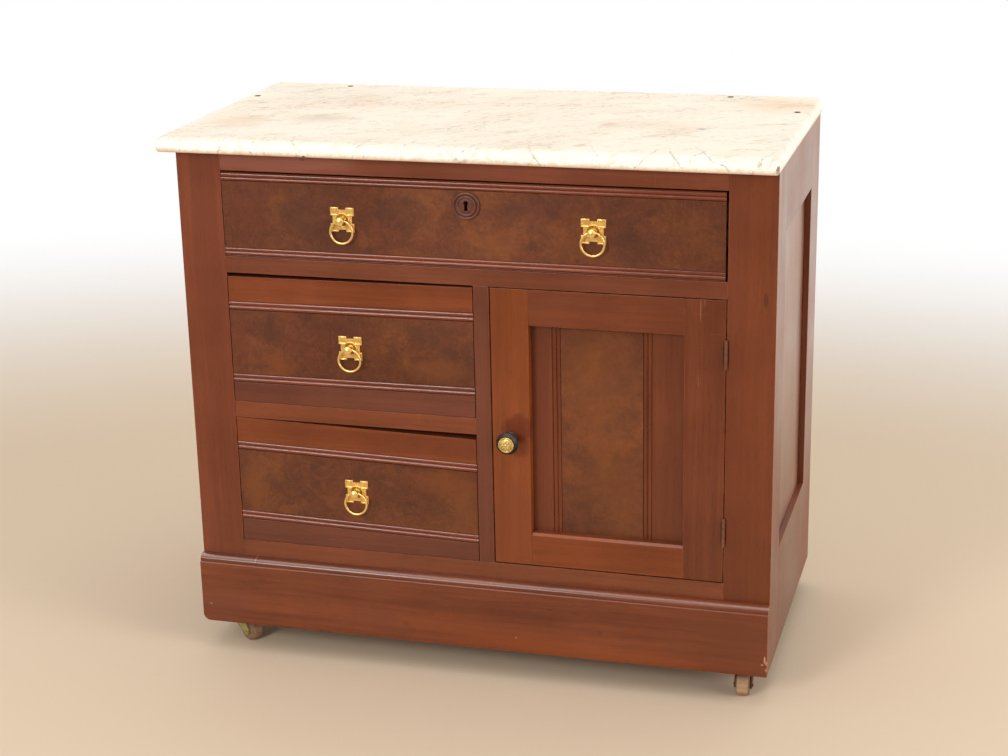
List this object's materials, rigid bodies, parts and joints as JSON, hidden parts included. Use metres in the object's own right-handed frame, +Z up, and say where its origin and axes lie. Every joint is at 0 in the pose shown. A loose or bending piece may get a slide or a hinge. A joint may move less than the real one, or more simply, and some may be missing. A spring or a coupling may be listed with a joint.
{
  "type": "washstand",
  "caption": "Washstand with a marble top, reeded drawers with ring pulls and a framed cupboard door, on casters.",
  "frame": {"origin": "on the floor, under the middle of the whole object's footprint", "axes": "+Z up, +X to the right as one faces the drawers, so the front faces -Y and the back faces +Y"},
  "size_m": [0.782, 0.4116, 0.701],
  "materials": {
    "walnut": "satin shellac over straight grain",
    "warm_walnut": "satin shellac over straight grain, more orange",
    "burl": "glossy shellac over figured veneer",
    "poplar": "bare planed secondary wood",
    "turned_wood": "satin, turned",
    "marble": "honed, softly veined",
    "bright_brass": "polished, worn",
    "cap_brass": "aged, embossed",
    "dull_brass": "tarnished",
    "hinge_brass": "aged, browned",
    "ebonised": "ebonised, rubbed",
    "iron": "dark, dry",
    "wheel_wood": "worn, bare"
  },
  "bodies": {
    "case": {"marble_top": "marble", "front_post_left": "walnut", "front_post_right": "walnut", "top_rail": "walnut", "middle_rail": "walnut", "drawer_rail": "walnut", "bottom_rail": "walnut", "divider_stile": "walnut", "side_frame_left": "walnut", "side_frame_right": "walnut", "side_panel_left": "walnut", "side_panel_right": "walnut", "back_boards": "poplar", "bottom_board": "poplar", "dust_frame": "poplar", "partition": "poplar", "drawer_runner_left": "poplar", "drawer_runner_right": "poplar", "plinth_board": "walnut", "plinth_moulding": "walnut", "lower_hinge_frame_leaf": "hinge_brass", "upper_hinge_frame_leaf": "hinge_brass"},
    "top_drawer": {"top_drawer_front": "burl", "top_drawer_box": "poplar", "top_drawer_bottom": "poplar", "lock_case": "iron", "escutcheon": "turned_wood", "top_left_pull_plate": "bright_brass", "top_right_pull_plate": "bright_brass"},
    "upper_drawer": {"upper_drawer_front": "burl", "upper_drawer_box": "poplar", "upper_drawer_bottom": "poplar", "upper_drawer_pull_plate": "bright_brass"},
    "lower_drawer": {"lower_drawer_front": "burl", "lower_drawer_box": "poplar", "lower_drawer_bottom": "poplar", "lower_drawer_pull_plate": "bright_brass"},
    "door": {"door_left_stile": "warm_walnut", "door_right_stile": "walnut", "door_top_rail": "walnut", "door_bottom_rail": "walnut", "door_panel": "burl", "lower_hinge_door_leaf": "hinge_brass", "upper_hinge_door_leaf": "hinge_brass"},
    "knob": {"door_knob": "ebonised", "knob_cap": "cap_brass", "latch_tongue": "dull_brass"},
    "bolt": {"lock_bolt": "dull_brass"},
    "top_left_ring": {"top_left_pull_ring": "bright_brass"},
    "top_right_ring": {"top_right_pull_ring": "bright_brass"},
    "upper_ring": {"upper_drawer_pull_ring": "bright_brass"},
    "lower_ring": {"lower_drawer_pull_ring": "bright_brass"},
    "front_left_fork": {"front_left_caster_fork": "dull_brass"},
    "front_right_fork": {"front_right_caster_fork": "dull_brass"},
    "rear_left_fork": {"rear_left_caster_fork": "dull_brass"},
    "rear_right_fork": {"rear_right_caster_fork": "dull_brass"},
    "front_left_wheel": {"front_left_caster_wheel": "wheel_wood"},
    "front_right_wheel": {"front_right_caster_wheel": "wheel_wood"},
    "rear_left_wheel": {"rear_left_caster_wheel": "wheel_wood"},
    "rear_right_wheel": {"rear_right_caster_wheel": "wheel_wood"}
  },
  "joints": [
    {"name": "top_drawer_slide", "type": "slide", "parent": "case", "child": "top_drawer", "axis": [0, -1, 0], "range_m": [0, 0.25]},
    {"name": "upper_drawer_slide", "type": "slide", "parent": "case", "child": "upper_drawer", "axis": [0, -1, 0], "range_m": [0, 0.25]},
    {"name": "lower_drawer_slide", "type": "slide", "parent": "case", "child": "lower_drawer", "axis": [0, -1, 0], "range_m": [0, 0.25]},
    {"name": "door_swing", "type": "hinge", "parent": "case", "child": "door", "pos_m": [0.3295, -0.17865, 0.34], "axis": [0, 0, 1], "range_deg": [0, 170]},
    {"name": "knob_turn", "type": "hinge", "parent": "door", "child": "knob", "pos_m": [0.059, -0.17625, 0.3278], "axis": [0, 1, 0], "range_deg": [0, 90]},
    {"name": "lock_throw", "type": "slide", "parent": "top_drawer", "child": "bolt", "axis": [0, 0, 1], "range_m": [0, 0.007]},
    {"name": "top_left_ring_swing", "type": "hinge", "parent": "top_drawer", "child": "top_left_ring", "pos_m": [-0.1531, -0.18305, 0.6007], "axis": [-1, 0, 0], "range_deg": [-8, 95]},
    {"name": "top_right_ring_swing", "type": "hinge", "parent": "top_drawer", "child": "top_right_ring", "pos_m": [0.1669, -0.18305, 0.6007], "axis": [-1, 0, 0], "range_deg": [-8, 95]},
    {"name": "upper_ring_swing", "type": "hinge", "parent": "upper_drawer", "child": "upper_ring", "pos_m": [-0.15025, -0.18305, 0.43355], "axis": [-1, 0, 0], "range_deg": [-8, 95]},
    {"name": "lower_ring_swing", "type": "hinge", "parent": "lower_drawer", "child": "lower_ring", "pos_m": [-0.15025, -0.18305, 0.23855], "axis": [-1, 0, 0], "range_deg": [-8, 95]},
    {"name": "front_left_swivel", "type": "hinge", "parent": "case", "child": "front_left_fork", "pos_m": [-0.339, -0.14225, 0.04], "axis": [0, 0, 1], "continuous": true},
    {"name": "front_right_swivel", "type": "hinge", "parent": "case", "child": "front_right_fork", "pos_m": [0.355, -0.14225, 0.04], "axis": [0, 0, 1], "continuous": true},
    {"name": "rear_left_swivel", "type": "hinge", "parent": "case", "child": "rear_left_fork", "pos_m": [-0.339, 0.17075, 0.04], "axis": [0, 0, 1], "continuous": true},
    {"name": "rear_right_swivel", "type": "hinge", "parent": "case", "child": "rear_right_fork", "pos_m": [0.355, 0.17075, 0.04], "axis": [0, 0, 1], "continuous": true},
    {"name": "front_left_roll", "type": "hinge", "parent": "front_left_fork", "child": "front_left_wheel", "pos_m": [-0.32046, -0.15211, 0.014], "axis": [0.4695, 0.8829, 0], "continuous": true},
    {"name": "front_right_roll", "type": "hinge", "parent": "front_right_fork", "child": "front_right_wheel", "pos_m": [0.35573, -0.16324, 0.014], "axis": [0.9994, 0.0349, 0], "continuous": true},
    {"name": "rear_left_roll", "type": "hinge", "parent": "rear_left_fork", "child": "rear_left_wheel", "pos_m": [-0.34886, 0.18929, 0.014], "axis": [-0.8829, -0.4695, 0], "continuous": true},
    {"name": "rear_right_roll", "type": "hinge", "parent": "rear_right_fork", "child": "rear_right_wheel", "pos_m": [0.36388, 0.18978, 0.014], "axis": [-0.9063, 0.4226, 0], "continuous": true}
  ]
}
